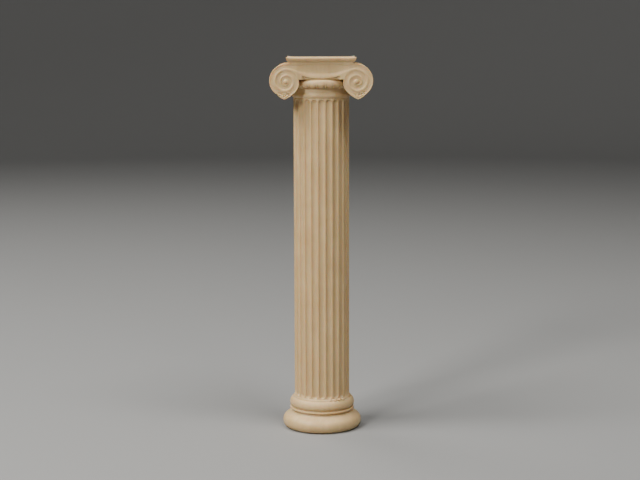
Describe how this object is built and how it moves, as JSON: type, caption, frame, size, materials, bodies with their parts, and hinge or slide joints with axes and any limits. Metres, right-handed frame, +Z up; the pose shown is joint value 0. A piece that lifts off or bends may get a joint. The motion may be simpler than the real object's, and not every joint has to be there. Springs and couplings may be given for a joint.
{
  "type": "ionic column model",
  "caption": "Freestanding shelf-size Ionic column made in one piece: round moulded base, straight fluted shaft, scroll capital and square abacus with a flat top.",
  "frame": {"origin": "middle of the round underside, on the surface that the column stands on", "axes": "+Z up along the shaft, -Y out of the front scroll face, +X to the viewer's right"},
  "size_m": [0.0404, 0.0318, 0.15],
  "materials": {
    "beige_plastic": "matte, faintly satin, with fine layer lines"
  },
  "bodies": {
    "root": {"column": "beige_plastic"}
  },
  "joints": []
}
